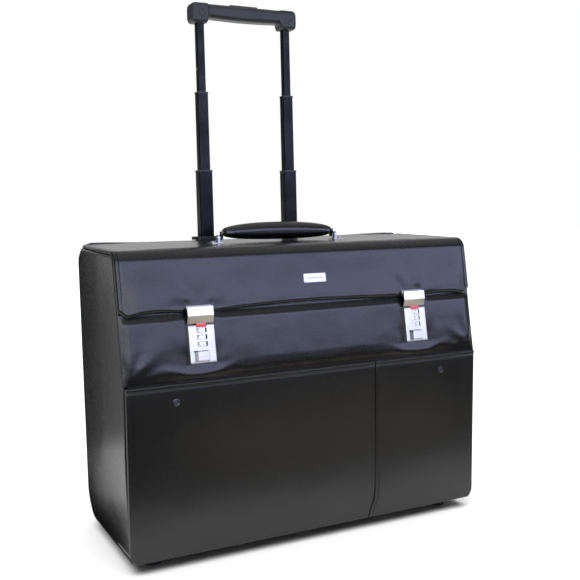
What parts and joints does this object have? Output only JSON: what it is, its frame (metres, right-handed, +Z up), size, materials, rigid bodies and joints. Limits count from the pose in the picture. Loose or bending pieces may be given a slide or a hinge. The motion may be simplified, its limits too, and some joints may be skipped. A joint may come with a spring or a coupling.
{
  "type": "pilot flight case",
  "caption": "Rolling flight case: leather body, flap lid on a rear hinge, dial locks, padded carry handle, telescoping pull handle, two rear wheels and two front feet.",
  "frame": {"origin": "on the ground, under the middle of the object's bounding box", "axes": "+X to the right as seen from the front, +Y towards the rear wall with the pull handle, +Z up"},
  "size_m": [0.47, 0.2154, 0.6605],
  "materials": {
    "body_leather": "smooth polished black leather with a fine grain",
    "handle_leather": "padded black leather with a sewn edge",
    "lining_fabric": "dark woven lining",
    "chromed_hardware": "polished plating",
    "nickel_snaps": "dark nickel",
    "plain_steel": "plain steel",
    "dial_metal": null,
    "red_flag": "red",
    "tube_aluminium": "dark blue-grey anodising, satin",
    "black_plastic": "fine moulded texture",
    "foot_rubber": "matt black",
    "tyre_rubber": "matt black"
  },
  "bodies": {
    "case": {"left_side_panel": "body_leather", "right_side_panel": "body_leather", "front_panel": "body_leather", "rear_panel": "body_leather", "base_board": "body_leather", "front_padding": "body_leather", "wide_pocket_panel": "body_leather", "narrow_pocket_panel": "body_leather", "pocket_snaps": "nickel_snaps", "divider_panel": "lining_fabric", "tube_cover_panel": "lining_fabric", "rear_top_rail": "body_leather", "tube_bezels": "black_plastic", "outer_tubes": "tube_aluminium", "tube_foot_bracket": "black_plastic", "hinge_body_leaf": "plain_steel", "hinge_pin": "plain_steel", "left_wheel_housing": "black_plastic", "right_wheel_housing": "black_plastic", "wheel_axles": "plain_steel", "front_feet": "foot_rubber", "left_lock_case": "chromed_hardware", "right_lock_case": "chromed_hardware", "lock_back_plates": "plain_steel", "dial_axles": "plain_steel", "lock_indicators": "red_flag"},
    "lid": {"lid_panel": "body_leather", "lid_lining": "lining_fabric", "hinge_lid_leaf": "plain_steel", "hasp_plates": "chromed_hardware", "hasp_pins": "plain_steel", "name_plate": "chromed_hardware", "handle_brackets": "chromed_hardware"},
    "carry_handle": {"handle_pad": "handle_leather", "handle_core": "plain_steel"},
    "left_hasp": {"left_hasp": "chromed_hardware"},
    "right_hasp": {"right_hasp": "chromed_hardware"},
    "left_release_button": {"left_release_button": "chromed_hardware"},
    "right_release_button": {"right_release_button": "chromed_hardware"},
    "stage_1": {"left_stage_1_tube": "tube_aluminium", "right_stage_1_tube": "tube_aluminium", "stage_1_collars": "black_plastic"},
    "stage_2": {"left_stage_2_tube": "tube_aluminium", "right_stage_2_tube": "tube_aluminium", "stage_2_collars": "black_plastic"},
    "stage_3": {"stage_3_tubes": "tube_aluminium", "grip_front_shell": "black_plastic", "grip_rear_shell": "black_plastic", "grip_screws": "plain_steel"},
    "grip_button": {"grip_button": "black_plastic"},
    "left_wheel": {"left_tyre": "tyre_rubber", "left_hub": "black_plastic"},
    "right_wheel": {"right_tyre": "tyre_rubber", "right_hub": "black_plastic"},
    "left_dial_1": {"left_dial_1": "dial_metal"},
    "left_dial_2": {"left_dial_2": "dial_metal"},
    "left_dial_3": {"left_dial_3": "dial_metal"},
    "right_dial_1": {"right_dial_1": "dial_metal"},
    "right_dial_2": {"right_dial_2": "dial_metal"},
    "right_dial_3": {"right_dial_3": "dial_metal"}
  },
  "joints": [
    {"name": "lid_hinge", "type": "hinge", "parent": "case", "child": "lid", "pos_m": [0, 0.06849, 0.3524], "axis": [-1, 0, 0], "range_deg": [0, 75]},
    {"name": "carry_handle_swing", "type": "hinge", "parent": "lid", "child": "carry_handle", "pos_m": [0, -0.0037, 0.3614], "axis": [1, 0, 0], "range_deg": [-30, 30]},
    {"name": "left_hasp_flip", "type": "hinge", "parent": "lid", "child": "left_hasp", "pos_m": [-0.143, -0.09389, 0.29073], "axis": [-1, 0, 0], "range_deg": [0, 100]},
    {"name": "right_hasp_flip", "type": "hinge", "parent": "lid", "child": "right_hasp", "pos_m": [0.143, -0.09389, 0.29073], "axis": [-1, 0, 0], "range_deg": [0, 100]},
    {"name": "left_release_slide", "type": "slide", "parent": "case", "child": "left_release_button", "axis": [-1, 0, 0], "range_m": [0, 0.003], "stiffness_N_per_m": 300, "springref_m": -0.001},
    {"name": "right_release_slide", "type": "slide", "parent": "case", "child": "right_release_button", "axis": [-1, 0, 0], "range_m": [0, 0.003], "stiffness_N_per_m": 300, "springref_m": -0.001},
    {"name": "left_dial_1_turn", "type": "hinge", "parent": "case", "child": "left_dial_1", "pos_m": [-0.143, -0.09246, 0.26439], "axis": [0, 0.1818, 0.9833], "continuous": true},
    {"name": "left_dial_2_turn", "type": "hinge", "parent": "case", "child": "left_dial_2", "pos_m": [-0.143, -0.09384, 0.25692], "axis": [0, 0.1818, 0.9833], "continuous": true},
    {"name": "left_dial_3_turn", "type": "hinge", "parent": "case", "child": "left_dial_3", "pos_m": [-0.143, -0.09522, 0.24945], "axis": [0, 0.1818, 0.9833], "continuous": true},
    {"name": "right_dial_1_turn", "type": "hinge", "parent": "case", "child": "right_dial_1", "pos_m": [0.143, -0.09246, 0.26439], "axis": [0, 0.1818, 0.9833], "continuous": true},
    {"name": "right_dial_2_turn", "type": "hinge", "parent": "case", "child": "right_dial_2", "pos_m": [0.143, -0.09384, 0.25692], "axis": [0, 0.1818, 0.9833], "continuous": true},
    {"name": "right_dial_3_turn", "type": "hinge", "parent": "case", "child": "right_dial_3", "pos_m": [0.143, -0.09522, 0.24945], "axis": [0, 0.1818, 0.9833], "continuous": true},
    {"name": "stage_1_slide", "type": "slide", "parent": "case", "child": "stage_1", "axis": [0, 0.0349, 0.9994], "range_m": [-0.085, 0.1]},
    {"name": "stage_2_slide", "type": "slide", "parent": "stage_1", "child": "stage_2", "axis": [0, 0.0349, 0.9994], "range_m": [-0.0985, 0.1]},
    {"name": "stage_3_slide", "type": "slide", "parent": "stage_2", "child": "stage_3", "axis": [0, 0.0349, 0.9994], "range_m": [-0.0865, 0.1]},
    {"name": "grip_button_press", "type": "slide", "parent": "stage_3", "child": "grip_button", "axis": [0, -0.0349, -0.9994], "range_m": [0, 0.003], "stiffness_N_per_m": 400, "springref_m": -0.001},
    {"name": "left_wheel_spin", "type": "hinge", "parent": "case", "child": "left_wheel", "pos_m": [-0.209, 0.0483, 0.025], "axis": [1, 0, 0], "continuous": true},
    {"name": "right_wheel_spin", "type": "hinge", "parent": "case", "child": "right_wheel", "pos_m": [0.209, 0.0483, 0.025], "axis": [1, 0, 0], "continuous": true}
  ]
}
